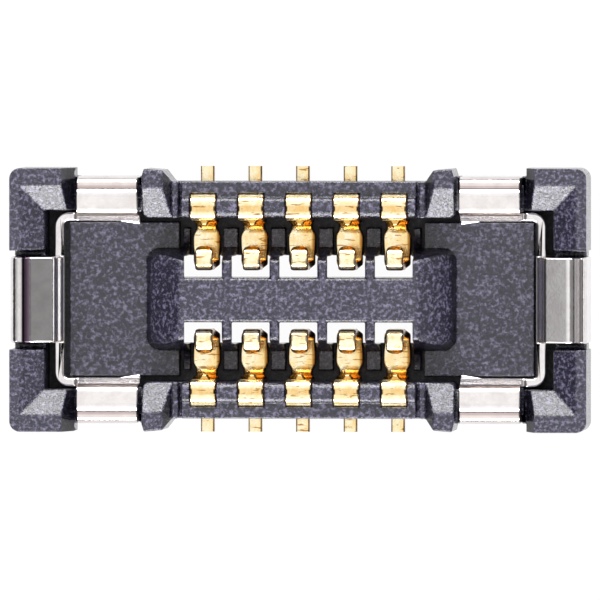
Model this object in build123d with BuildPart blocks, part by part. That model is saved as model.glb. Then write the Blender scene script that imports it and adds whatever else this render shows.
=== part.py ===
from build123d import *
import os

os.makedirs("parts", exist_ok=True)

# Board to board receptacle with two rows of contacts and a metal fitting at each end.
# Millimetres. Board plane at z = 0, X along the rows, Y across them, mating side up.

# Moulded body
pitch = 0.35
per_row = 5
body_length = 4.23
body_width = 1.93
body_height = 0.56
corner_radius = 0.078
stand_off = 0.02
skin = 0.04
low_wall = 0.26

# Corner blocks: flat rim, then a mitred slope that guides the plug in
block_length = 0.455
end_rim = 0.075
side_rim = 0.127
end_guide_run = 0.174
guide_drop = 0.12
block_side_run = 0.072
block_side_drop = 0.26

# Posts between the side tabs and the contact walls
post_top = 0.118
post_setback = 0.004
post_skew = 0.011
post_side_run = 0.064
post_back_run = 0.033
post_corner_cut = 0.017
post_rim = 0.141
post_fillet = 0.05
ledge_length = 0.033

# Contact walls: shelf outside, rounded ridge inside, a key at each end
wall_setback = 0.097
shelf_height = 0.44
ridge_height = 0.49
ridge_setback = 0.03
ridge_outer_radius = 0.035
ridge_inner_radius = 0.05
row_margin = 0.159
key_gap = 0.025
key_width = 0.046
key_height = 0.465
key_gap_depth = 0.09

# Signal contact, a formed strip. A bend is the radius on its inside.
strip = 0.06
tail_reach = 0.106
tail_width = 0.10
tail_bend = 0.01
crest_setback = 0.088
crest_height = 0.50
crest_width = 0.195
crest_span = 0.187
crest_proud = 0.008
crest_outer_bend = 0.025
crest_inner_bend = 0.002
coin_width = 0.182
coin_length = 0.035
waist_start = 0.093
waist_length = 0.045
seat_bend = 0.14
seat_width = 0.15
seat_length = 0.083
spring_width = 0.205
spring_rise = 0.02
neck_width = 0.176
arm_face = 0.215
arm_bend = 0.06
tongue_height = 0.42
tongue_width = 0.128
tongue_reach = 0.395
tongue_flat = 0.08
tongue_slope_run = 0.027
tongue_slope_drop = 0.024
tongue_drop = 0.08
tongue_bend = 0.025
tongue_tip_radius = 0.03
lock_base = 0.30
lock_height = 0.07
lock_reach = 0.05
lock_width = 0.10

# Floor, partitions and island
floor_height = 0.15
floor_margin = 0.20
floor_end_gap = 0.03
floor_side_gap = 0.012
partition_height = 0.12
partition_gap = 0.073
partition_margin = 0.172
slot_clearance = 0.02
window_width = 0.274
window_inner = 0.163
window_outer = 0.32
island_length = 2.31
island_width = 0.76
island_height = 0.48
island_foot_height = 0.12
island_shoulder = 0.31
island_radius = 0.10
island_end_flank = 0.095
island_side_flank = 0.035
island_end_slope = 0.18
island_side_slope = 0.055

# End fitting, one stamped and folded sheet
sheet = 0.065
end_wall = 0.379
side_wall = 0.39
band_corner = 0.10
lip_setback = 0.041
lip_rise = 0.035
tab_setback = 0.06
tab_height = 0.53
tab_rise = 0.23
side_lip_drop = 0.02
end_lip_drop = 0.07
crown_run = 0.026
crown_drop = 0.02
shoulder_run = 0.103
shoulder_drop = 0.01
end_tab_width = 0.632
fold_radius = 0.04
lip_radius = 0.035
relief_width = 0.02
relief_depth = 0.04
core_gap = 0.02
bay_gap = 0.045
bay_depth = 0.015
pocket_gap = 0.015
bump_base = 0.16
bump_height = 0.12
bump_length = 0.15
bump_reach = 0.028

# Places that follow from the sizes above
half_length = body_length / 2
half_width = body_width / 2
half_strip = strip / 2
half_sheet = sheet / 2
floor_level = stand_off + skin
last_contact = (per_row - 1) / 2 * pitch
row_end = last_contact + row_margin
key_start = row_end + key_gap
post_start = key_start + key_width
post_top_start = post_start + post_side_run
post_top_end = post_top_start + post_top
post_end = post_top_end + post_back_run
post_outer = half_width - post_setback
tab_start = post_end + ledge_length
block_start = half_length - block_length
tab_end = block_start - ledge_length
end_tab_half = end_tab_width / 2
bay_half = end_tab_half + bay_gap
rim_x = half_length - end_rim
rim_y = half_width - side_rim
band_inner_x = half_length - end_wall
band_inner_y = half_width - side_wall
band_x = band_inner_x + half_sheet
band_y = band_inner_y + half_sheet
lip_x = band_x + lip_setback
lip_y = band_y + lip_setback
tab_outer = half_width - tab_setback
band_top = tab_height - tab_rise
tab_leg_x = half_length - half_sheet
tab_leg_y = tab_outer - half_sheet
crown_x = half_length - shoulder_run - crown_run
crown_y = tab_outer - shoulder_run - crown_run
pocket_x = rim_x - end_guide_run
pocket_y = band_inner_y + sheet + pocket_gap
wall_outer = half_width - wall_setback
crest_outer = wall_outer - crest_setback
crest_inner = crest_outer - crest_span
ridge_outer = crest_outer - ridge_setback
wall_inner = crest_inner + crest_proud
tail_tip = wall_outer + tail_reach
seat_end = crest_inner - seat_length
partition_outer = crest_inner - partition_gap
slot_width = spring_width + 2 * slot_clearance


# Signal contact: tail, leg inside the wall, crest over the wall, leg, seat, spring and arm
arm_middle = (floor_level + spring_rise + tongue_height) / 2
waist_outer = crest_outer - waist_start
waist_inner = waist_outer - waist_length
with BuildPart() as contact_body:
    with BuildSketch(Plane.YZ):
        with BuildLine() as body_path:
            FilletPolyline(
                (tail_tip, half_strip),
                (crest_outer - half_strip, half_strip),
                (crest_outer - half_strip, crest_height - half_strip),
                (crest_inner + half_strip, crest_height - half_strip),
                (crest_inner + half_strip, floor_level + half_strip),
                (arm_face + half_strip, floor_level + spring_rise + half_strip),
                (arm_face + half_strip, arm_middle),
                radius=[
                    tail_bend + half_strip,
                    crest_outer_bend + half_strip,
                    crest_inner_bend + half_strip,
                    seat_bend + half_strip,
                    arm_bend + half_strip,
                ],
            )
        trace(body_path.line, line_width=strip)
    extrude(amount=spring_width / 2, both=True)
    # Plan of the blank: narrow tail, coined crest, seat, barrel-shaped spring, neck and arm
    with BuildSketch() as blank:
        with BuildLine():
            Polyline(
                (0, tail_tip),
                (tail_width / 2, tail_tip),
                (tail_width / 2, crest_outer),
                (coin_width / 2, crest_outer),
                (coin_width / 2, crest_outer - coin_length),
                (crest_width / 2, crest_outer - coin_length),
                (crest_width / 2, waist_outer),
                (coin_width / 2, waist_outer),
                (coin_width / 2, waist_inner),
                (crest_width / 2, waist_inner),
                (crest_width / 2, crest_inner),
                (seat_width / 2, crest_inner),
                (seat_width / 2, seat_end),
            )
            ThreePointArc(
                (seat_width / 2, seat_end),
                (spring_width / 2, (seat_end + window_outer + half_strip) / 2),
                (neck_width / 2, window_outer),
            )
            Polyline(
                (neck_width / 2, window_outer),
                (neck_width / 2, arm_face + strip + half_strip),
                (tongue_width / 2, arm_face + strip),
                (tongue_width / 2, 0),
                (0, 0),
                (0, tail_tip),
            )
        make_face()
        mirror(about=Plane.YZ)
    extrude(amount=crest_height, mode=Mode.INTERSECT)
    # Pointed lock pressed out of the inner leg
    with BuildSketch(Plane.XY.offset(lock_base)):
        with BuildLine():
            Polyline(
                (-lock_width / 2, crest_inner + half_strip),
                (lock_width / 2, crest_inner + half_strip),
                (0, crest_inner - lock_reach),
                close=True,
            )
        make_face()
    extrude(amount=lock_height, taper=12)

# Contact tongue: it folds over the arm, runs flat and then slopes down towards the wall
with BuildPart() as tongue:
    with BuildSketch(Plane.YZ):
        with BuildLine():
            Polyline(
                (arm_face, arm_middle),
                (arm_face, tongue_height),
                (arm_face + tongue_flat, tongue_height),
                (tongue_reach - tongue_slope_run, tongue_height - tongue_slope_drop),
                (tongue_reach, tongue_height - tongue_drop),
            )
            offset(amount=strip, side=Side.RIGHT, kind=Kind.INTERSECTION)
        make_face()
        fillet(vertices().group_by(Axis.Y)[-1].sort_by(Axis.X)[0], tongue_bend)
    extrude(amount=tongue_width / 2, both=True)
    with BuildSketch():
        with Locations((0, tongue_reach / 2)):
            Rectangle(tongue_width, tongue_reach)
        fillet(vertices().group_by(Axis.Y)[-1], tongue_tip_radius)
    extrude(amount=tongue_height, mode=Mode.INTERSECT)

with BuildPart() as contact:
    add(contact_body.part)
    add(tongue.part)

# Room for one contact in the wall, square-cornered outside the bends and chamfered inside them
under_crest = crest_height - strip
with BuildPart() as contact_seat:
    with BuildSketch(Plane.YZ):
        with BuildLine():
            Polyline(
                (crest_outer, 0),
                (crest_outer, crest_height),
                (crest_inner, crest_height),
                (crest_inner, floor_level),
                (crest_inner + strip, floor_level),
                (crest_inner + strip, under_crest - crest_inner_bend),
                (crest_inner + strip + crest_inner_bend, under_crest),
                (crest_outer - strip - crest_outer_bend, under_crest),
                (crest_outer - strip, under_crest - crest_outer_bend),
                (crest_outer - strip, 0),
                close=True,
            )
        make_face()
    extrude(amount=crest_width / 2, both=True)
    with BuildSketch(Plane.YZ):
        with BuildLine():
            Polyline(
                (tail_tip, 0),
                (tail_tip, strip),
                (crest_outer + tail_bend, strip),
                (crest_outer, strip + tail_bend),
                (crest_outer, 0),
                close=True,
            )
        make_face()
    extrude(amount=tail_width / 2, both=True)


# Fold lines of the side tabs and of the end tab, from the band over the wall and down outside
side_folds = [
    (band_y, band_top),
    (lip_y, band_top + lip_rise),
    (lip_y, tab_height - side_lip_drop - half_sheet),
    (crown_y, tab_height - half_sheet),
    (crown_y + crown_run, tab_height - crown_drop - half_sheet),
    (tab_leg_y, tab_height - crown_drop - shoulder_drop - half_sheet),
]
end_folds = [
    (band_x, band_top),
    (lip_x, band_top + lip_rise),
    (lip_x, tab_height - end_lip_drop - half_sheet),
    (crown_x, tab_height - half_sheet),
    (crown_x + crown_run, tab_height - crown_drop - half_sheet),
    (tab_leg_x, tab_height - crown_drop - shoulder_drop - half_sheet),
]
fold_radii = [fold_radius, fold_radius, lip_radius, lip_radius, fold_radius, lip_radius]

# End fitting: band round the inside of the end, two side tabs, one end tab, two lock bumps
with BuildPart() as fitting:
    with BuildSketch(Plane.XY.offset(floor_level)):
        with BuildLine() as band_path:
            FilletPolyline(
                (tab_start, band_y),
                (band_x, band_y),
                (band_x, -band_y),
                (tab_start, -band_y),
                radius=band_corner - half_sheet,
            )
        trace(band_path.line, line_width=sheet)
    extrude(amount=band_top - floor_level)
    # Relief slots where the side tabs leave the band
    with BuildSketch(Plane.XY.offset(band_top)):
        with Locations((tab_end + relief_width / 2, 0)):
            Rectangle(relief_width, 2 * (band_inner_y + sheet))
    extrude(amount=-relief_depth, mode=Mode.SUBTRACT)
    with BuildSketch(Plane.YZ.offset(tab_start)):
        with BuildLine() as side_path:
            FilletPolyline((band_y, floor_level), *side_folds, (tab_leg_y, 0), radius=fold_radii)
        trace(side_path.line, line_width=sheet)
        mirror(about=Plane.YZ)
    extrude(amount=tab_end - tab_start)
    with BuildSketch(Plane.XZ):
        with BuildLine() as end_path:
            FilletPolyline((band_x, floor_level), *end_folds, (tab_leg_x, 0), radius=fold_radii)
        trace(end_path.line, line_width=sheet)
    extrude(amount=end_tab_half, both=True)
    # Wedge-shaped lock bumps pressed inwards at the inner end of each side tab
    with BuildSketch(Plane.XY.offset(bump_base)):
        with BuildLine():
            Polyline(
                (tab_start, band_y),
                (tab_start, band_inner_y - bump_reach),
                (tab_start + bump_length, band_inner_y),
                (tab_start + bump_length, band_y),
                close=True,
            )
        make_face()
        mirror(about=Plane.XZ)
    extrude(amount=bump_height)


# Plan outline of the moulded body, one quarter mirrored twice
with BuildSketch() as outline:
    with BuildLine():
        Polyline(
            (0, 0),
            (half_length - sheet, 0),
            (half_length - sheet, end_tab_half),
            (half_length - bay_depth, end_tab_half),
            (half_length - bay_depth, bay_half),
            (half_length, bay_half),
            (half_length, half_width),
            (block_start, half_width),
            (block_start, tab_outer),
            (tab_end, tab_outer),
            (tab_end, tab_outer - sheet),
            (tab_start, tab_outer - sheet),
            (tab_start, tab_outer),
            (post_end, tab_outer),
            (post_end - post_corner_cut, post_outer),
            (post_top_start, post_outer - post_skew),
            (post_start, wall_outer),
            (0, wall_outer),
            close=True,
        )
    make_face()
    mirror(about=Plane.XZ)
    mirror(about=Plane.YZ)
    fillet(vertices().group_by(SortBy.DISTANCE)[-1], corner_radius)

# Corner blocks, with the guide slopes cut as one funnel so that they meet in a mitre
with BuildPart() as corner_blocks:
    with BuildSketch(Plane.XY.offset(stand_off)):
        add(outline.sketch)
        Rectangle(2 * block_start, body_width, mode=Mode.SUBTRACT)
        Rectangle(body_length, 2 * bay_half, mode=Mode.SUBTRACT)
    extrude(amount=body_height - stand_off)
    with BuildSketch(Plane.XY.offset(body_height)):
        Rectangle(2 * rim_x, 2 * rim_y)
    with BuildSketch(Plane.XY.offset(body_height - guide_drop)):
        Rectangle(2 * pocket_x, 2 * pocket_y)
    loft(mode=Mode.SUBTRACT)
    with BuildSketch(Plane.XY.offset(stand_off)):
        Rectangle(2 * pocket_x, 2 * pocket_y)
    extrude(amount=body_height - guide_drop - stand_off, mode=Mode.SUBTRACT)
    with BuildSketch(Plane.XZ):
        with BuildLine():
            Polyline(
                (block_start, body_height - block_side_drop),
                (block_start + block_side_run, body_height),
                (block_start, body_height),
                close=True,
            )
        make_face()
        mirror(about=Plane.YZ)
    extrude(amount=body_width, both=True, mode=Mode.SUBTRACT)

# Post with a corner cut off towards the tails, sloped on both sides and inwards
with BuildPart() as posts:
    with BuildSketch(Plane.XY.offset(stand_off)):
        with BuildLine():
            Polyline(
                (post_start, wall_inner),
                (post_start, wall_outer),
                (post_top_start, post_outer - post_skew),
                (post_end - post_corner_cut, post_outer),
                (post_end, tab_outer),
                (post_end, wall_inner),
                close=True,
            )
        make_face()
        fillet(vertices().group_by(Axis.Y)[0].sort_by(Axis.X)[-1], post_fillet)
    extrude(amount=body_height - stand_off)
    with BuildSketch(Plane.XZ):
        with BuildLine():
            Polyline(
                (post_start, body_height - guide_drop),
                (post_top_start, body_height),
                (post_start, body_height),
                close=True,
            )
            Polyline(
                (post_end, body_height - guide_drop),
                (post_top_end, body_height),
                (post_end, body_height),
                close=True,
            )
        make_face()
    extrude(amount=body_width, both=True, mode=Mode.SUBTRACT)
    with BuildSketch(Plane.YZ):
        with BuildLine():
            Polyline(
                (wall_inner, body_height - guide_drop),
                (post_outer - post_rim, body_height),
                (wall_inner, body_height),
                close=True,
            )
        make_face()
    extrude(amount=body_length, mode=Mode.SUBTRACT)
    mirror(about=Plane.XZ)
    mirror(about=Plane.YZ)

# Wall under one row: shelf over the tails, ridge under the crests, a key at each end
with BuildPart() as row_walls:
    with BuildSketch(Plane.YZ):
        with BuildLine():
            Polyline(
                (wall_inner, stand_off),
                (wall_outer, stand_off),
                (wall_outer, shelf_height),
                (ridge_outer, shelf_height),
                (ridge_outer, ridge_height),
                (wall_inner, ridge_height),
                close=True,
            )
        make_face()
        fillet(vertices().group_by(Axis.Y)[-1].sort_by(Axis.X)[-1], ridge_outer_radius)
        fillet(vertices().sort_by(Axis.X)[0:2].sort_by(Axis.Y)[-1], ridge_inner_radius)
    extrude(amount=row_end, both=True)
    with BuildSketch(Plane.XY.offset(stand_off)):
        with Locations((0, (wall_inner + wall_outer) / 2)):
            Rectangle(2 * post_start, wall_outer - wall_inner)
    extrude(amount=shelf_height - key_gap_depth - stand_off)
    with BuildSketch(Plane.XY.offset(stand_off)):
        with Locations(((key_start + post_start) / 2, (wall_inner + wall_outer) / 2)):
            Rectangle(key_width, wall_outer - wall_inner)
        mirror(about=Plane.YZ)
    extrude(amount=key_height - stand_off)
    mirror(about=Plane.XZ)

# Cores of the side and end walls, which the tabs are folded over
with BuildPart() as tab_cores:
    with BuildSketch(Plane.YZ.offset(tab_start)):
        with BuildLine():
            Polyline(
                (band_y + half_sheet, stand_off),
                (band_y + half_sheet, band_top - half_sheet),
                (lip_y + half_sheet, band_top),
                (lip_y + half_sheet, tab_height - side_lip_drop - sheet - core_gap),
                (crown_y, tab_height - sheet - core_gap),
                (tab_leg_y - half_sheet, tab_height - crown_drop - shoulder_drop - sheet - core_gap),
                (tab_leg_y - half_sheet, stand_off),
                close=True,
            )
        make_face()
    extrude(amount=tab_end - tab_start)
    mirror(about=Plane.XZ)
    with BuildSketch(Plane.XZ):
        with BuildLine():
            Polyline(
                (band_x + half_sheet, stand_off),
                (band_x + half_sheet, band_top - half_sheet),
                (lip_x + half_sheet, band_top),
                (lip_x + half_sheet, tab_height - end_lip_drop - sheet - core_gap),
                (crown_x, tab_height - sheet - core_gap),
                (tab_leg_x - half_sheet, tab_height - crown_drop - shoulder_drop - sheet - core_gap),
                (tab_leg_x - half_sheet, stand_off),
                close=True,
            )
        make_face()
    extrude(amount=end_tab_half, both=True)
    mirror(about=Plane.YZ)

# Island with steep flanks and a sloped shoulder, longer at the ends
shoulder_length = island_length - 2 * island_end_flank
shoulder_width = island_width - 2 * island_side_flank
with BuildPart() as island:
    with BuildSketch(Plane.XY.offset(stand_off)):
        RectangleRounded(island_length, island_width, island_radius)
    extrude(amount=island_foot_height - stand_off)
    with BuildSketch(Plane.XY.offset(island_foot_height)):
        RectangleRounded(island_length, island_width, island_radius)
    with BuildSketch(Plane.XY.offset(island_shoulder)):
        RectangleRounded(shoulder_length, shoulder_width, island_radius - island_side_flank)
    loft(ruled=True)
    with BuildSketch(Plane.XY.offset(island_shoulder)):
        RectangleRounded(shoulder_length, shoulder_width, island_radius - island_side_flank)
    with BuildSketch(Plane.XY.offset(island_height)):
        RectangleRounded(
            shoulder_length - 2 * island_end_slope,
            shoulder_width - 2 * island_side_slope,
            (island_radius - island_side_flank) / 2,
        )
    loft(ruled=True)

with BuildPart() as housing:
    # Skin and low outer wall
    with BuildSketch(Plane.XY.offset(stand_off)):
        add(outline.sketch)
    extrude(amount=low_wall)
    with BuildSketch(Plane.XY.offset(floor_level)):
        Rectangle(2 * pocket_x, 2 * pocket_y)
    extrude(amount=low_wall, mode=Mode.SUBTRACT)
    add(corner_blocks.part)
    add(posts.part)
    add(row_walls.part)
    add(tab_cores.part)
    # Raised floor at both ends, partitions between the contacts, island
    with BuildSketch(Plane.XY.offset(floor_level)):
        Rectangle(2 * (band_inner_x - floor_end_gap), 2 * (band_inner_y - floor_side_gap))
        Rectangle(2 * (last_contact + floor_margin), body_width, mode=Mode.SUBTRACT)
    extrude(amount=floor_height - floor_level)
    with BuildSketch(Plane.XY.offset(floor_level)):
        Rectangle(2 * (last_contact + partition_margin), 2 * partition_outer)
    extrude(amount=partition_height - floor_level)
    add(island.part)
    # Slots for the springs and the openings that they bend into
    with BuildSketch(Plane.XY.offset(floor_level)):
        with GridLocations(pitch, 1, per_row, 1):
            Rectangle(slot_width, 2 * partition_outer)
        Rectangle(body_length, 2 * (window_outer - slot_clearance), mode=Mode.SUBTRACT)
    extrude(amount=island_height, mode=Mode.SUBTRACT)
    with BuildSketch():
        with GridLocations(pitch, window_inner + window_outer, per_row, 2):
            Rectangle(window_width, window_outer - window_inner)
    extrude(amount=body_height, mode=Mode.SUBTRACT)
    # Seats of the metal
    for turn in (0, 180):
        with Locations(Location((0, 0, 0), (0, 0, turn))):
            add(fitting.part, mode=Mode.SUBTRACT)
            with GridLocations(pitch, 1, per_row, 1):
                add(contact_seat.part, mode=Mode.SUBTRACT)
housing.part.label = "housing"
export_step(housing.part, "parts/housing.step")

for side, turn in (("right", 0), ("left", 180)):
    with BuildPart() as end_fitting:
        with Locations(Location((0, 0, 0), (0, 0, turn))):
            add(fitting.part)
    end_fitting.part.label = f"end_fitting_{side}"
    export_step(end_fitting.part, f"parts/{end_fitting.part.label}.step")

for row, turn in (("a", 0), ("b", 180)):
    for number in range(per_row):
        with BuildPart() as signal_contact:
            with Locations(Location((number * pitch - last_contact, 0, 0), (0, 0, turn))):
                add(contact.part)
        signal_contact.part.label = f"signal_contact_{row}{number + 1}"
        export_step(signal_contact.part, f"parts/{signal_contact.part.label}.step")
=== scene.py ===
import math

import bpy
from mathutils import Matrix, Vector


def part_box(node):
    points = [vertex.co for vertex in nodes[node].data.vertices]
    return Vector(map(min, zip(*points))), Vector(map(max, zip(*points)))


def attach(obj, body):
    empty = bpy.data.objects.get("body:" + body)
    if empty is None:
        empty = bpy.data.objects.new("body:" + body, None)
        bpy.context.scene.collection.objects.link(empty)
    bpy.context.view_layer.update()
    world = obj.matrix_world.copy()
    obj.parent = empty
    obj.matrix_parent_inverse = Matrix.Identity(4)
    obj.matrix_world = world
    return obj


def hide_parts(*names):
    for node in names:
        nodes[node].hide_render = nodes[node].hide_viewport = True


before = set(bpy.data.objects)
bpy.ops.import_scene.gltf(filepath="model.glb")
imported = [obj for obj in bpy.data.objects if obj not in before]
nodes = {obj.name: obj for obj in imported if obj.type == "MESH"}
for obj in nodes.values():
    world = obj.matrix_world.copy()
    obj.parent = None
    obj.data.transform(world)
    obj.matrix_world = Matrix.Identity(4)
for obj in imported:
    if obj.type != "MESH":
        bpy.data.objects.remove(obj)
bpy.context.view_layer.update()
mm = 0.001  # metres
print("frame loaded:", len(nodes), "nodes")

# Camera, a long lens almost straight above (sizes in mm)
camera = {
    "distance": 150,
    "tiltX": 4.5,       # degrees towards +X
    "tiltY": 1.3,       # degrees towards +Y
    "width": 4.386,     # what the frame's width covers
    "aim": (0.0146, 0.0022, 0.5),
    "sensor": 36,
    "clip": (0.01, 5),  # metres
}


def placeCamera():
    sight = bpy.data.cameras.new("camera")
    eye = bpy.data.objects.new("camera", sight)
    bpy.context.scene.collection.objects.link(eye)
    away = Vector((math.tan(math.radians(camera["tiltX"])), math.tan(math.radians(camera["tiltY"])), 1))
    away.normalize()
    right = Vector((0, 1, 0)).cross(away).normalized()
    up = away.cross(right)
    place = (Vector(camera["aim"]) + away * camera["distance"]) * mm
    eye.matrix_world = Matrix((
        (right.x, up.x, away.x, place.x),
        (right.y, up.y, away.y, place.y),
        (right.z, up.z, away.z, place.z),
        (0, 0, 0, 1),
    ))
    sight.sensor_width = camera["sensor"]
    sight.lens = camera["sensor"] * camera["distance"] / camera["width"]
    sight.clip_start, sight.clip_end = camera["clip"]
    bpy.context.scene.camera = eye


placeCamera()


# Small helpers for node trees
def newMaterial(name):
    made = bpy.data.materials.new(name)
    made.use_nodes = True
    return made, made.node_tree.nodes, made.node_tree.links, made.node_tree.nodes["Principled BSDF"]


def addNode(tree, kind, **values):
    node = tree.new(kind)
    for key, value in values.items():
        setattr(node, key, value)
    return node


def feed(links, socket, value):
    if isinstance(value, bpy.types.NodeSocket):
        links.new(value, socket)
    else:
        socket.default_value = value


def reckon(tree, links, operation, *values):
    node = addNode(tree, "ShaderNodeMath", operation=operation)
    for socket, value in zip(node.inputs, values):
        feed(links, socket, value)
    return node.outputs[0]


def splitAxes(tree, links, source):
    node = addNode(tree, "ShaderNodeSeparateXYZ")
    links.new(source, node.inputs[0])
    return node.outputs


def mapRange(tree, links, source, span, onto=(0, 1), **values):
    node = addNode(tree, "ShaderNodeMapRange", **values)
    for name, value in zip(("From Min", "From Max", "To Min", "To Max"), (*span, *onto)):
        node.inputs[name].default_value = value
    links.new(source, node.inputs["Value"])
    return node.outputs["Result"]


def mixColour(tree, links, factor, below, above, blend="MIX"):
    node = addNode(tree, "ShaderNodeMix", data_type="RGBA", blend_type=blend)
    feed(links, node.inputs["Factor"], factor)
    feed(links, node.inputs[6], below)
    feed(links, node.inputs[7], above)
    return node.outputs[2]


def colourRamp(tree, links, source, stops):
    ramp = addNode(tree, "ShaderNodeValToRGB")
    band = ramp.color_ramp
    while len(band.elements) < len(stops):
        band.elements.new(0.5)
    for element, (place, colour) in zip(band.elements, stops):
        element.position = place
        element.color = (*colour, 1)
    links.new(source, ramp.inputs["Fac"])
    return ramp.outputs["Color"]


def greyRamp(tree, links, source, stops):
    return colourRamp(tree, links, source, [(place, (value,) * 3) for place, value in stops])


shiftShares = (1, 0.7, 1.3)  # how a shift of a noise is shared out over the axes


def objectNoise(tree, links, coords, size, detail, roughness, stretch=(1, 1, 1), shift=0.0):
    # size is the size of a grain in millimetres
    mapping = addNode(tree, "ShaderNodeMapping")
    mapping.inputs["Scale"].default_value = tuple(s / (size * mm) for s in stretch)
    mapping.inputs["Location"].default_value = tuple(shift * share for share in shiftShares)
    links.new(coords.outputs["Object"], mapping.inputs["Vector"])
    noise = addNode(tree, "ShaderNodeTexNoise")
    noise.inputs["Scale"].default_value = 1.0
    noise.inputs["Detail"].default_value = detail
    noise.inputs["Roughness"].default_value = roughness
    links.new(mapping.outputs["Vector"], noise.inputs["Vector"])
    return noise.outputs["Fac"]


def addBump(tree, links, shader, height, depth):
    bump = addNode(tree, "ShaderNodeBump")
    bump.inputs["Strength"].default_value = 1.0
    bump.inputs["Distance"].default_value = depth * mm
    links.new(height, bump.inputs["Height"])
    links.new(bump.outputs["Normal"], shader.inputs["Normal"])


def inMetres(span):
    return [edge * mm for edge in span]


# Black moulded polymer with a fine eroded grain, duller down in its recesses and darker there from painted shade
# (sizes in mm)
plasticLook = {
    "dark": (0.003, 0.003, 0.007),
    "mid": (0.014, 0.013, 0.028),
    "light": (0.122, 0.112, 0.168),
    "stops": (0.35, 0.50, 0.68),
    # Painted shade: the colour is darkened below the recess heights
    "recessShade": 0.3,
    "recess": (0.07, 0.118),       # height above the board: dull below, plain above
    "roughness": 0.22,
    "recessRoughness": 0.6,
    # By the upright share of the normal: how much of the height rule holds, and what holds elsewhere
    "leanLevel": [(0.5, 0), (0.9, 1)],
    "leanRoughness": [(0.50, 0.12), (0.56, 0.2)],
    "leanDull": [(0.08, 0), (0.14, 0.9), (0.50, 0.9), (0.56, 0)],
    # Painted shade: steep faces get a darker colour
    "leanShade": [(0.08, 1), (0.14, 0.25), (0.50, 0.25), (0.56, 1)],
    "dullBeyond": 0.885,           # from the middle line
    "ior": 1.72,
    "grain": 0.028,
    "grainDetail": (4, 0.65),
    "fineGrain": 0.011,
    "fineDetail": (2, 0.5),
    "fineShift": 3.1,
    "bumpHeight": 0.0046,
}


def makePlastic():
    look = plasticLook
    made, tree, links, shader = newMaterial("blackPolymer")
    coords = addNode(tree, "ShaderNodeTexCoord")
    place = splitAxes(tree, links, coords.outputs["Object"])
    facing = splitAxes(tree, links, coords.outputs["Normal"])
    height = mapRange(tree, links, place["Z"], inMetres(look["recess"]))
    grain = objectNoise(tree, links, coords, look["grain"], *look["grainDetail"])
    fine = objectNoise(tree, links, coords, look["fineGrain"], *look["fineDetail"], shift=look["fineShift"])
    colour = colourRamp(tree, links, grain, [
        (stop, look[name]) for stop, name in zip(look["stops"], ("dark", "mid", "light"))])
    # Painted shade: the colour is darkened down in the recesses, and on steep faces below
    shade = greyRamp(tree, links, height, [(0.0, look["recessShade"]), (1.0, 1)])
    shaded = mixColour(tree, links, 1.0, colour, shade, "MULTIPLY")
    lean = {name: greyRamp(tree, links, facing["Z"], look[name])
            for name in ("leanLevel", "leanRoughness", "leanDull", "leanShade")}
    # Painted shade on steep faces, multiplied into the colour
    steep = mixColour(tree, links, 1.0, shaded, lean["leanShade"], "MULTIPLY")
    links.new(steep, shader.inputs["Base Color"])
    # Floors of recesses are dull, steep faces and upright walls are the smoothest
    dull = mapRange(tree, links, height, (0, 1), (look["recessRoughness"], look["roughness"]))
    gloss = addNode(tree, "ShaderNodeMix")
    for socket, source in ((0, lean["leanLevel"]), (2, lean["leanRoughness"]), (3, dull)):
        links.new(source, gloss.inputs[socket])
    # Steep faces beyond the folded tabs are dull as well
    away = reckon(tree, links, "ABSOLUTE", place["Y"])
    beyond = reckon(tree, links, "GREATER_THAN", away, look["dullBeyond"] * mm)
    rough = reckon(tree, links, "MULTIPLY", beyond, lean["leanDull"])
    links.new(reckon(tree, links, "MAXIMUM", gloss.outputs[0], rough), shader.inputs["Roughness"])
    shader.inputs["IOR"].default_value = look["ior"]
    addBump(tree, links, shader, reckon(tree, links, "ADD", grain, fine), look["bumpHeight"])
    return made


# Gold plated strip: cream on the flats with fine marks across it, and painted shade: browner on the stamped edges,
# orange low in the seat, tan bands on the crest and browner towards the right (sizes in mm)
goldLook = {
    "pale": (1.0, 0.88, 0.61),
    "deep": (0.96, 0.75, 0.41),
    "mark": (0.50, 0.27, 0.08),
    "edgeShadePale": (0.42, 0.25, 0.09),
    "edgeShadeDeep": (0.10, 0.045, 0.012),
    # Painted reflection: orange for the low part of the strip, in the shade of the walls
    "low": (0.66, 0.38, 0.07),
    "lowBand": (0.43, 0.36),  # height above the board: crest above, low part below
    # By the distance from the middle line, where the low part of the strip is painted orange: painted reflection of
    # gold on gold in the shade of the walls
    "paintedSeatReflection": [(0.50, 0), (0.57, 1), (0.64, 1), (0.66, 0)],
    # Painted shade across the low part of each contact, in shares of the pitch: browner towards the right, the side
    # that shows darker
    "pitch": 0.35,
    "across": [(0.0, (1, 1, 1)), (0.5, (1, 1, 1)), (0.60, (0.97, 0.90, 0.74)), (0.69, (0.92, 0.78, 0.52)),
               (0.735, (0.40, 0.22, 0.07)), (0.80, (0.22, 0.10, 0.02))],
    # Painted shade: tan lines on the crest, over its coined waist and near its outer bend, by the distance from the
    # middle line
    "crest": [(0.640, (1, 1, 1)), (0.652, (0.90, 0.76, 0.54)), (0.688, (0.90, 0.76, 0.54)), (0.695, (1, 1, 1)),
              (0.735, (1, 1, 1)), (0.739, (0.78, 0.64, 0.46)), (0.750, (0.78, 0.64, 0.46)), (0.756, (1, 1, 1))],
    "roughness": 0.2,
    "blotch": 0.07,
    "blotchStops": (0.38, 0.56),
    "marks": 0.03,
    "marksStops": (0.35, 0.41),
    "marksStretch": (0.3, 1.5, 1),
    "marksShift": 5.3,
    "detail": (3, 0.6),
    "fine": 0.02,
    "fineDetail": (2, 0.5),
    "fineStretch": (1, 0.4, 1),
    "fineShift": 1.7,
    "bumpHeight": 0.0012,
}


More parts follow.
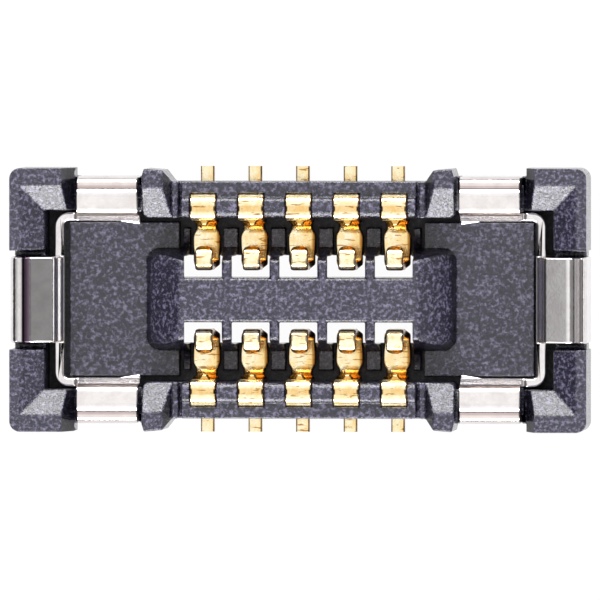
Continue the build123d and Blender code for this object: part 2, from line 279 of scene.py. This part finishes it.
def makeGold(name, pale, deep, mark):
    look = goldLook
    made, tree, links, shader = newMaterial(name)
    coords = addNode(tree, "ShaderNodeTexCoord")
    place = splitAxes(tree, links, coords.outputs["Object"])
    blotch = objectNoise(tree, links, coords, look["blotch"], *look["detail"])
    lines = objectNoise(tree, links, coords, look["marks"], *look["detail"],
                        stretch=look["marksStretch"], shift=look["marksShift"])
    fine = objectNoise(tree, links, coords, look["fine"], *look["fineDetail"],
                       stretch=look["fineStretch"], shift=look["fineShift"])
    colour = colourRamp(tree, links, blotch, list(zip(look["blotchStops"], (deep, pale))))
    marked = greyRamp(tree, links, lines, list(zip(look["marksStops"], (1, 0))))
    last = mixColour(tree, links, marked, colour, (*mark, 1))
    away = reckon(tree, links, "MULTIPLY", reckon(tree, links, "ABSOLUTE", place["Y"]), 1 / mm)
    under = mapRange(tree, links, place["Z"], inMetres(look["lowBand"]))
    over = reckon(tree, links, "SUBTRACT", 1.0, under)
    # Painted reflection: orange low down in the seat
    paintedSeatReflection = reckon(tree, links, "MULTIPLY", greyRamp(tree, links, away, look["paintedSeatReflection"]), under)
    last = mixColour(tree, links, paintedSeatReflection, last, (*look["low"], 1))
    # From the left edge of each contact's place to its right edge, 0 to 1
    places = reckon(tree, links, "MULTIPLY_ADD", place["X"], 1 / (look["pitch"] * mm), 0.5)
    share = reckon(tree, links, "FRACT", places)
    # Painted shade: tan bands over the crest above, and browner towards the right across the low part below
    for factor, source, stops in ((over, away, look["crest"]), (under, share, look["across"])):
        last = mixColour(tree, links, factor, last, colourRamp(tree, links, source, stops), "MULTIPLY")
    links.new(last, shader.inputs["Base Color"])
    shader.inputs["Metallic"].default_value = 1.0
    shader.inputs["Roughness"].default_value = look["roughness"]
    addBump(tree, links, shader, fine, look["bumpHeight"])
    return made


# Nickel plated sheet with faint drawing marks, and painted shade along the folds of its tabs (sizes in mm)
nickelLook = {
    "pale": (0.85, 0.82, 0.82),
    "deep": (0.75, 0.71, 0.715),
    "roughness": 0.18,
    "blotch": 0.12,
    "blotchStops": (0.35, 0.65),
    "detail": (3, 0.6),
    "fine": 0.02,
    "fineDetail": (2, 0.5),
    "fineShift": 1.7,
    "bumpHeight": 0.0008,
    # The marks below are painted shade along the folds
    "tops": (0.40, 0.42),        # height above the board from which the marks below show
    "sideTabs": (0.585, 0.60),   # and distances from the middle from which each kind of tab begins
    "endTabs": (1.76, 1.78),
    # Painted shade on the tops of the side tabs: dark lines and browner bands along the folds, by the distance from
    # the middle line
    "sideFoldShade": [(0.59, (1, 1, 1)), (0.598, (0.06, 0.05, 0.05)), (0.616, (0.06, 0.05, 0.05)),
                  (0.624, (0.66, 0.57, 0.50)), (0.645, (0.80, 0.72, 0.66)), (0.652, (1, 1, 1)),
                  (0.667, (1, 1, 1)), (0.676, (0.93, 0.92, 0.90)), (0.76, (0.93, 0.92, 0.90)), (0.766, (1, 1, 1)),
                  (0.806, (1, 1, 1)), (0.810, (0.12, 0.10, 0.10)), (0.817, (0.12, 0.10, 0.10)),
                  (0.822, (0.66, 0.58, 0.55)), (0.834, (0.66, 0.58, 0.55)), (0.842, (0.90, 0.84, 0.81)),
                  (0.875, (0.90, 0.84, 0.81)), (0.90, (1, 1, 1))],
    # And painted shade on the two end tabs, along the length
    "endFoldShade": [(-2.12, (1, 1, 1)), (-2.031, (1, 1, 1)), (-2.026, (0.12, 0.08, 0.12)),
                 (-1.972, (0.12, 0.08, 0.12)), (-1.958, (1, 1, 1)), (2.019, (1, 1, 1)), (2.023, (0.08, 0.07, 0.08)),
                 (2.029, (0.1, 0.09, 0.1)), (2.034, (0.42, 0.40, 0.40)), (2.080, (0.85, 0.83, 0.83)),
                 (2.092, (1, 1, 1)), (2.12, (1, 1, 1))],
}


def makeNickel():
    look = nickelLook
    made, tree, links, shader = newMaterial("nickelPlating")
    coords = addNode(tree, "ShaderNodeTexCoord")
    place = splitAxes(tree, links, coords.outputs["Object"])
    blotch = objectNoise(tree, links, coords, look["blotch"], *look["detail"])
    fine = objectNoise(tree, links, coords, look["fine"], *look["fineDetail"], shift=look["fineShift"])
    last = colourRamp(tree, links, blotch, list(zip(look["blotchStops"], (look["deep"], look["pale"]))))
    top = mapRange(tree, links, place["Z"], inMetres(look["tops"]))
    reachX = reckon(tree, links, "ABSOLUTE", place["X"])
    reachY = reckon(tree, links, "ABSOLUTE", place["Y"])
    # Painted shade along the folds of the tabs, multiplied into the colour
    for source, reach, tabs, marks in ((reachY, reachY, "sideTabs", look["sideFoldShade"]),
                                       (place["X"], reachX, "endTabs", look["endFoldShade"])):
        onTab = mapRange(tree, links, reach, inMetres(look[tabs]))
        start, end = marks[0][0], marks[-1][0]
        along = mapRange(tree, links, source, inMetres((start, end)))
        band = colourRamp(tree, links, along, [((p - start) / (end - start), colour) for p, colour in marks])
        here = reckon(tree, links, "MULTIPLY", onTab, top)
        last = mixColour(tree, links, here, last, band, "MULTIPLY")
    links.new(last, shader.inputs["Base Color"])
    shader.inputs["Metallic"].default_value = 1.0
    shader.inputs["Roughness"].default_value = look["roughness"]
    addBump(tree, links, shader, fine, look["bumpHeight"])
    return made


finishes = {
    "housing_plastic": makePlastic(),
    "contact_gold": makeGold("goldPlating", goldLook["pale"], goldLook["deep"], goldLook["mark"]),
    # Painted shade: the dark gold for the stamped side faces stands in for their dark outline
    "stamped_edge_shade": makeGold("stampedEdgeShade", goldLook["edgeShadePale"], goldLook["edgeShadeDeep"], goldLook["edgeShadeDeep"]),
    "fitting_metal": makeNickel(),
}
print("materials made")


def slotOf(node):
    if node == "housing":
        return "housing_plastic"
    return "contact_gold" if node.startswith("signal") else "fitting_metal"


def startEdit(piece):
    bpy.ops.object.select_all(action="DESELECT")
    piece.select_set(True)
    bpy.context.view_layer.objects.active = piece
    bpy.ops.object.mode_set(mode="EDIT")
    bpy.ops.mesh.select_all(action="SELECT")


def applyModifier(piece, kind, name, **values):
    bpy.ops.object.select_all(action="DESELECT")
    piece.select_set(True)
    bpy.context.view_layer.objects.active = piece
    modifier = piece.modifiers.new(name, kind)
    for key, value in values.items():
        setattr(modifier, key, value)
    bpy.ops.object.modifier_apply(modifier=modifier.name)


# A copy of a solid with its edges broken, worked on at a thousand times its size (angles in degrees)
rounding = {"merge": 1e-5, "flatAngle": 0.5, "smoothAngle": 40}


def roundedCopy(node, name, width, segments, weightOf=None, shape=None):
    piece = bpy.data.objects.new(name, nodes[node].data.copy())
    bpy.context.scene.collection.objects.link(piece)
    piece.data.transform(Matrix.Scale(1 / mm, 4))
    startEdit(piece)
    bpy.ops.mesh.remove_doubles(threshold=rounding["merge"])
    bpy.ops.mesh.dissolve_limited(angle_limit=math.radians(rounding["flatAngle"]))
    bpy.ops.object.mode_set(mode="OBJECT")
    mesh = piece.data
    if shape:
        shape(mesh)
    weights = mesh.attributes.new("bevel_weight_edge", "FLOAT", "EDGE")
    for index, share in enumerate(edgeShares(mesh, width, weightOf)):
        weights.data[index].value = share
    applyModifier(piece, "BEVEL", "edges", width=width, segments=segments, use_clamp_overlap=False,
                  limit_method="WEIGHT", loop_slide=False)
    bpy.ops.object.shade_smooth_by_angle(angle=math.radians(rounding["smoothAngle"]))
    applyModifier(piece, "WEIGHTED_NORMAL", "normals", keep_sharp=True)
    piece.data.transform(Matrix.Scale(mm, 4))
    piece.data.materials.clear()
    piece.data.materials.append(finishes[slotOf(node)])
    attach(piece, "root")
    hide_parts(node)
    return piece


# How strongly each edge is broken: as asked, but never so far that the cut runs off a short edge beside it
breaking = {"sharpAngle": 25, "straightOn": 150, "room": 0.45, "least": 0.15, "settled": 1e-4}


def edgeShares(mesh, width, weightOf):
    angles = edgeAngles(mesh)
    shares = []
    for edge in mesh.edges:
        a = mesh.vertices[edge.vertices[0]].co
        b = mesh.vertices[edge.vertices[1]].co
        asked = weightOf(a, b) if weightOf else 1.0
        shares.append(asked if angles[edge.index] > math.radians(breaking["sharpAngle"]) else 0.0)
    corners = faceCorners(mesh)
    settled = False
    while not settled:
        settled = True
        for mine, other, reach, lean, length in corners:
            if shares[mine] == 0:
                continue
            if shares[other] > 0 and lean > math.radians(breaking["straightOn"]):
                limit = shares[other] + breaking["room"] * min(reach, length) * math.sin(lean) / width
            else:
                limit = breaking["room"] * reach * math.sin(lean) / width
            if limit < shares[mine] - breaking["settled"]:
                shares[mine] = limit if limit > breaking["least"] else 0.0
                settled = False
    return shares


def faceCorners(mesh):
    # Each corner of each face, seen from both of its edges: this edge, the other edge and its length, the angle
    # between them, and this edge's own length
    index = {tuple(sorted(edge.vertices)): edge.index for edge in mesh.edges}
    corners = []
    for polygon in mesh.polygons:
        keys = polygon.edge_keys
        for one, two in zip(keys, keys[1:] + keys[:1]):
            tip = (set(one) & set(two)).pop()
            ways = []
            for key in (one, two):
                far = key[0] if key[1] == tip else key[1]
                ways.append(mesh.vertices[far].co - mesh.vertices[tip].co)
            lean = ways[0].angle(ways[1], 0)
            first = index[tuple(sorted(one))]
            second = index[tuple(sorted(two))]
            corners.append((first, second, ways[1].length, lean, ways[0].length))
            corners.append((second, first, ways[0].length, lean, ways[1].length))
    return corners


def edgeAngles(mesh):
    faces = {}
    for polygon in mesh.polygons:
        for key in polygon.edge_keys:
            faces.setdefault(key, []).append(polygon.normal)
    angles = [0.0] * len(mesh.edges)
    for edge in mesh.edges:
        pair = faces.get(tuple(sorted(edge.vertices)), [])
        if len(pair) == 2:
            angles[edge.index] = pair[0].angle(pair[1], 0)
    return angles


# How strongly each stretch of the moulding's edges is broken, and where the stretches end (mm)
housingEdges = {
    "width": 0.024,
    "segments": 3,
    "outside": 0.22,
    "outsideFrom": (2.1, 0.965),  # x or y
    "low": 0.35,
    "lowBelow": 0.2,
    "island": 1.0,
    "islandWithin": 0.4,
    "rows": 0.5,
    "rowsWithin": 0.93,
    "blocks": 0.5,
}


def housingWeight(a, b):
    x = max(abs(a.x), abs(b.x))
    z = min(a.z, b.z)
    y = max(abs(a.y), abs(b.y))
    if x > housingEdges["outsideFrom"][0] or y > housingEdges["outsideFrom"][1]:
        return housingEdges["outside"]
    if z < housingEdges["lowBelow"]:
        return housingEdges["low"]
    if y < housingEdges["islandWithin"]:
        return housingEdges["island"]
    if x < housingEdges["rowsWithin"]:
        return housingEdges["rows"]
    return housingEdges["blocks"]


# One wall of each window leans back, so that the whole opening shows from above (mm)
windowDraft = {"centres": (-0.7, -0.35, 0, 0.35, 0.7), "half": 0.137, "inner": 0.15, "outer": 0.33, "top": 0.48,
               "lean": 0.042, "near": 0.003}


def leanWindows(mesh):
    for vertex in mesh.vertices:
        if not windowDraft["inner"] < abs(vertex.co.y) < windowDraft["outer"]:
            continue
        for centre in windowDraft["centres"]:
            if abs(vertex.co.x - centre + windowDraft["half"]) < windowDraft["near"]:
                vertex.co.x -= windowDraft["lean"] * max(0, 1 - vertex.co.z / windowDraft["top"])
                break


roundedCopy("housing", "moulded_body", housingEdges["width"], housingEdges["segments"], housingWeight, leanWindows)
print("moulding done")


# One contact, a flat strip drawn along its bends and then copied to every place (sizes in mm)
contactForm = {
    "strip": 0.06,
    "rollOver": 0.013,          # the stamped edge is rounded this much
    "tongueRoll": 1.8,          # and so many times more on the tongue
    "rollSteps": 4,
    "bendStep": 11,             # degrees between the stations of a bend
    "straightStep": 0.012,
    "path": [                   # middle of the strip (y, z) and the radius of the bend there
        (0.974, 0.03, 0), (0.75, 0.03, 0.04), (0.75, 0.47, 0.055), (0.611, 0.47, 0.032), (0.611, 0.092, 0.15),
        (0.245, 0.098, 0.06), (0.245, 0.39, 0.031), (0.29, 0.39, 0.05), (0.345, 0.372, 0.02), (0.367, 0.323, 0)],
    "tail": 0.05,               # half widths from here on
    "coin": 0.088,              # the waist of the crest
    "crest": 0.096,
    "seat": 0.078,
    "barrel": 0.1025,
    "neck": 0.097,
    "tongue": 0.064,
    "tailFrom": 0.78,           # places along y where the width changes
    "waist": (0.655, 0.684),
    "seatFrom": 0.585,
    "seatEnd": 0.515,
    "barrelMiddle": 0.44,
    "neckFrom": 0.32,
    "shoulder": (0.248, 0.268),
    "tipRound": 0.034,
    "tipBlunt": 0.7,
    "armWithin": 0.5,           # arm and tongue lie nearer than this
    "armAbove": 0.2,            # and higher than this
    "near": 0.001,
    "leastTurn": 1e-4,          # smaller turns and changes of width are left out
    "leastChange": 1e-6,
    "edgeLean": 0.55,           # sideways share of the normal, from which a face is a stamped edge
    "smoothAngle": 50,
    "lock": {"base": 0.30, "height": 0.07, "half": 0.05, "root": 0.588, "point": 0.54, "tip": 0.3, "top": 0.82,
             "round": 0.008, "roundSteps": 3},
}


def stations(path, bendStep, straightStep):
    # Middle points and headings along straight runs joined by round bends
    found = [(Vector(path[0][:2]), None)]
    for before, here, after in zip(path, path[1:], path[2:]):
        corner = Vector(here[:2])
        inWay = (corner - Vector(before[:2])).normalized()
        outWay = (Vector(after[:2]) - corner).normalized()
        turn = math.atan2(inWay.x * outWay.y - inWay.y * outWay.x, inWay.dot(outWay))
        radius = here[2]
        start = corner - inWay * radius * math.tan(abs(turn) / 2)
        found += run(found[-1][0], start, straightStep)
        side = Vector((-inWay.y, inWay.x)) * math.copysign(1, turn)
        centre = start + side * radius
        steps = max(2, math.ceil(abs(math.degrees(turn)) / bendStep))
        for step in range(1, steps + 1):
            arm = Matrix.Rotation(turn * step / steps, 2) @ (start - centre)
            heading = math.atan2(inWay.y, inWay.x) + turn * step / steps
            found.append((centre + arm, heading))
    found += run(found[-1][0], Vector(path[-1][:2]), straightStep)
    return found[1:]


def run(start, end, step):
    way = end - start
    pieces = max(1, round(way.length / step))
    heading = math.atan2(way.y, way.x)
    return [(start + way * n / pieces, heading) for n in range(1, pieces + 1)]


def between(value, low, high, first, last):
    share = min(1, max(0, (value - low) / (high - low)))
    return first + (last - first) * share


def halfWidth(y, z, form):
    if z > form["armAbove"] and y < form["armWithin"]:
        tipStart = form["path"][-1][0] - form["tipRound"]
        if y <= tipStart:
            return form["tongue"]
        share = min(1, (y - tipStart) / form["tipRound"])
        return form["tongue"] - form["tipRound"] * form["tipBlunt"] * (1 - math.sqrt(max(0, 1 - share * share)))
    if y > form["tailFrom"]:
        return form["tail"]
    if form["waist"][0] < y < form["waist"][1]:
        return form["coin"]
    if y > form["seatFrom"]:
        return form["crest"]
    if y > form["seatEnd"]:
        return form["seat"]
    if y > form["barrelMiddle"]:
        share = (y - form["barrelMiddle"]) / (form["seatEnd"] - form["barrelMiddle"])
        return form["barrel"] - (form["barrel"] - form["seat"]) * share ** 2
    if y > form["neckFrom"]:
        share = (form["barrelMiddle"] - y) / (form["barrelMiddle"] - form["neckFrom"])
        return form["barrel"] - (form["barrel"] - form["neck"]) * share ** 2
    return between(y, *form["shoulder"], form["tongue"], form["neck"])


def drawStrip(form):
    # The end of the tail: an upright rectangle with rounded corners
    bpy.ops.object.select_all(action="DESELECT")
    startY, startZ = form["path"][0][:2]
    bpy.ops.mesh.primitive_plane_add(size=1, location=(0, startY, startZ), rotation=(math.pi / 2, 0, 0))
    strip = bpy.context.active_object
    bpy.ops.object.transform_apply(location=True, rotation=True, scale=True)
    startEdit(strip)
    middle = (0, startY, startZ)
    bpy.ops.transform.resize(value=(2 * form["tail"], 1, form["strip"]), center_override=middle)
    bpy.ops.mesh.bevel(offset=form["rollOver"], segments=form["rollSteps"], affect="VERTICES")
    bpy.ops.mesh.select_all(action="SELECT")
    width = form["tail"]
    place = Vector((startY, startZ))
    heading = math.pi
    for spot, turned in stations(form["path"], form["bendStep"], form["straightStep"]):
        step = spot - place
        bpy.ops.mesh.extrude_region_move(TRANSFORM_OT_translate={"value": (0, step.x, step.y)})
        centre = (0, spot.x, spot.y)
        swing = (turned - heading + math.pi) % (2 * math.pi) - math.pi
        if abs(swing) > form["leastTurn"]:
            bpy.ops.transform.rotate(value=-swing, orient_axis="X", center_override=centre)
        wider = halfWidth(spot.x, spot.y, form)
        if abs(wider - width) > form["leastChange"]:
            bpy.ops.transform.resize(value=(wider / width, 1, 1), center_override=centre)
        width = wider
        place = spot
        heading = turned
    bpy.ops.mesh.select_all(action="SELECT")
    bpy.ops.mesh.normals_make_consistent(inside=False)
    bpy.ops.object.mode_set(mode="OBJECT")
    # The stretched sections get their round edges back at the true size
    ring = 4 * (form["rollSteps"] + 1)
    vertices = strip.data.vertices
    for start in range(0, len(vertices), ring):
        section = [vertices[index] for index in range(start, start + ring)]
        half = max(abs(vertex.co.x) for vertex in section)
        onTongue = section[0].co.z > form["armAbove"] and half < form["tongue"] + form["near"]
        roll = form["tongueRoll"] if onTongue else 1.0
        for vertex in section:
            inward = (half - abs(vertex.co.x)) * form["tail"] / half * roll
            vertex.co.x = math.copysign(half - inward, vertex.co.x)
    return strip


def addLock(strip, form):
    # Pointed lock pressed out of the inner leg
    lock = form["lock"]
    bpy.ops.object.select_all(action="DESELECT")
    bpy.ops.mesh.primitive_plane_add(size=1, location=(0, (lock["root"] + lock["point"]) / 2, lock["base"]))
    wedge = bpy.context.active_object
    bpy.ops.object.transform_apply(location=True, rotation=True, scale=True)
    startEdit(wedge)
    bpy.ops.transform.resize(value=(2 * lock["half"], lock["root"] - lock["point"], 1),
                             center_override=(0, (lock["root"] + lock["point"]) / 2, lock["base"]))
    bpy.ops.mesh.select_all(action="DESELECT")
    bpy.ops.object.mode_set(mode="OBJECT")
    for vertex in wedge.data.vertices:
        vertex.select = vertex.co.y < (lock["root"] + lock["point"]) / 2
    bpy.ops.object.mode_set(mode="EDIT")
    bpy.ops.transform.resize(value=(lock["tip"], 1, 1), center_override=(0, lock["point"], lock["base"]))
    bpy.ops.mesh.select_all(action="SELECT")
    bpy.ops.mesh.extrude_region_move(TRANSFORM_OT_translate={"value": (0, 0, lock["height"])})
    bpy.ops.transform.resize(value=(lock["top"], lock["top"], 1), center_override=(0, lock["root"], lock["base"]))
    bpy.ops.mesh.select_all(action="SELECT")
    bpy.ops.mesh.normals_make_consistent(inside=False)
    bpy.ops.mesh.bevel(offset=lock["round"], segments=lock["roundSteps"], affect="EDGES")
    bpy.ops.object.mode_set(mode="OBJECT")
    strip.select_set(True)
    bpy.context.view_layer.objects.active = strip
    bpy.ops.object.join()


def placeContacts(strip, form):
    bpy.ops.object.select_all(action="DESELECT")
    strip.select_set(True)
    bpy.context.view_layer.objects.active = strip
    bpy.ops.object.shade_smooth_by_angle(angle=math.radians(form["smoothAngle"]))
    applyModifier(strip, "WEIGHTED_NORMAL", "normals", keep_sharp=True)
    strip.data.materials.clear()
    strip.data.materials.append(finishes["contact_gold"])
    strip.data.materials.append(finishes["stamped_edge_shade"])
    # Painted shade: faces that face sideways get the dark edge gold
    for polygon in strip.data.polygons:
        polygon.material_index = 1 if abs(polygon.normal.x) > form["edgeLean"] else 0
    strip.data.transform(Matrix.Scale(mm, 4))
    for node in sorted(nodes):
        if not node.startswith("signal"):
            continue
        low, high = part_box(node)
        piece = bpy.data.objects.new(node.replace("signal_contact", "formed_contact"), strip.data.copy())
        bpy.context.scene.collection.objects.link(piece)
        if low[1] < 0:
            piece.data.transform(Matrix.Rotation(math.pi, 4, "Z"))
        piece.data.transform(Matrix.Translation(((low[0] + high[0]) / 2, 0, 0)))
        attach(piece, "root")
        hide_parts(node)
    bpy.data.objects.remove(strip)


contactStrip = drawStrip(contactForm)
addLock(contactStrip, contactForm)
placeContacts(contactStrip, contactForm)
print("contacts done")

# The folded fittings keep their shape and get their edges broken (mm)
fittingEdges = {"width": 0.018, "segments": 3}
for node in ("end_fitting_left", "end_fitting_right"):
    roundedCopy(node, node.replace("end_fitting", "folded_fitting"), fittingEdges["width"], fittingEdges["segments"])
print("fittings done")


# Light from the world, by side: strength at each angle from straight up (degrees). The long sides, front and back,
# have a strong bar low down
lightLook = {
    "front": [(8, 1.15), (14, 1.17), (52, 1.3), (60, 19.5), (70, 19.5), (73, 0.1), (79, 0.1)],
    "back": [(8, 1.15), (14, 1.17), (52, 1.3), (60, 17.0), (70, 17.0), (73, 0.1), (79, 0.1)],
    "left": [(7, 1.15), (11, 0.85), (17, 0.95), (24, 0.95), (29, 0.55), (49, 0.55), (54, 0.12), (60, 0.03)],
    "right": [(1, 1.15), (5, 0.9), (15, 1.05), (19, 0.4), (24, 0.27), (46, 0.27), (52, 0.4), (57, 0.3), (62, 0.04),
              (71, 0.04), (75, 1.6), (84, 1.6), (88, 0.1)],
    "turn": (0.6, 0.85),  # sideways share of the direction, over which the ends give way to the long sides
}


def makeWorld():
    world = bpy.data.worlds.new("studio")
    bpy.context.scene.world = world
    world.use_nodes = True
    tree = world.node_tree.nodes
    links = world.node_tree.links
    coords = addNode(tree, "ShaderNodeTexCoord")
    way = splitAxes(tree, links, coords.outputs["Generated"])
    # 0 straight up, 1 at the horizon
    down = reckon(tree, links, "DIVIDE", reckon(tree, links, "ARCCOSINE", way["Z"]), math.pi / 2)
    peak = max(value for side in ("front", "back", "left", "right") for angle, value in lightLook[side])

    def profile(side):
        return greyRamp(tree, links, down, [(angle / 90, value / peak) for angle, value in lightLook[side]])

    def bySign(axis, below, above):
        choose = reckon(tree, links, "GREATER_THAN", way[axis], 0)
        return mixColour(tree, links, choose, profile(below), profile(above))

    longSides = bySign("Y", "front", "back")
    ends = bySign("X", "left", "right")
    # Share of the way round from the ends to the long sides
    flat = addNode(tree, "ShaderNodeVectorMath", operation="MULTIPLY")
    flat.inputs[1].default_value = (1, 1, 0)
    links.new(coords.outputs["Generated"], flat.inputs[0])
    unit = addNode(tree, "ShaderNodeVectorMath", operation="NORMALIZE")
    links.new(flat.outputs[0], unit.inputs[0])
    sideways = reckon(tree, links, "ABSOLUTE", splitAxes(tree, links, unit.outputs[0])["Y"])
    turn = mapRange(tree, links, sideways, lightLook["turn"], interpolation_type="SMOOTHSTEP")
    background = tree["Background"]
    links.new(mixColour(tree, links, turn, ends, longSides), background.inputs["Color"])
    background.inputs["Strength"].default_value = peak


makeWorld()


# White floor that keeps a soft shadow
floorLook = {
    "size": 0.6,        # metres
    "drop": 0.000002,   # metres below the solder feet
    "colour": (0.85, 0.85, 0.85, 1),
    "roughness": 0.6,
    "plainWhite": 0.97,  # how far it shows plain white to the camera and in reflections
}


def makeFloor():
    bpy.ops.object.select_all(action="DESELECT")
    bpy.ops.mesh.primitive_plane_add(size=floorLook["size"], location=(0, 0, -floorLook["drop"]))
    floor = bpy.context.active_object
    floor.name = "white_floor"
    made, tree, links, shader = newMaterial("whiteFloor")
    shader.inputs["Base Color"].default_value = floorLook["colour"]
    shader.inputs["Roughness"].default_value = floorLook["roughness"]
    glow = addNode(tree, "ShaderNodeEmission")
    glow.inputs["Strength"].default_value = 1.0
    rays = addNode(tree, "ShaderNodeLightPath").outputs
    seen = reckon(tree, links, "MAXIMUM", rays["Is Camera Ray"], rays["Is Glossy Ray"])
    seen = reckon(tree, links, "MAXIMUM", seen, rays["Is Transmission Ray"])
    part = reckon(tree, links, "MULTIPLY", seen, floorLook["plainWhite"])
    mixed = addNode(tree, "ShaderNodeMixShader")
    for socket, source in enumerate((part, shader.outputs[0], glow.outputs[0])):
        links.new(source, mixed.inputs[socket])
    links.new(mixed.outputs[0], tree["Material Output"].inputs["Surface"])
    floor.data.materials.append(made)


makeFloor()
bpy.context.scene.view_settings.view_transform = "Standard"
print("light and floor done")
